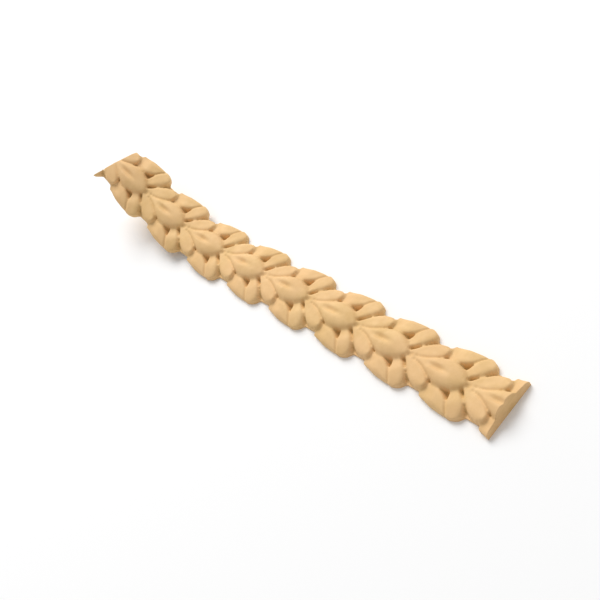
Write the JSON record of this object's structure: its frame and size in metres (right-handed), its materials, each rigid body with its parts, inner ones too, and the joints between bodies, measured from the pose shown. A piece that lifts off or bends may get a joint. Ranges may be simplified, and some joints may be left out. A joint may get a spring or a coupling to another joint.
{
  "type": "flexible moulding",
  "caption": "Narrow bendable cast trim with a running leaf ornament and a flat back, one end curving up and a little sideways.",
  "frame": {"origin": "on the flat back, on the centreline, at the middle of the straight part of the run", "axes": "+X along the run towards the end the leaves point to, +Y across it, +Z out of the relief"},
  "size_m": [0.2551, 0.0328, 0.0265],
  "materials": {
    "cast_wood": "uncoated tan compound of resin and wood fibre, matte, slightly mottled"
  },
  "bodies": {
    "root": {"leaf_moulding": "cast_wood"}
  },
  "joints": []
}
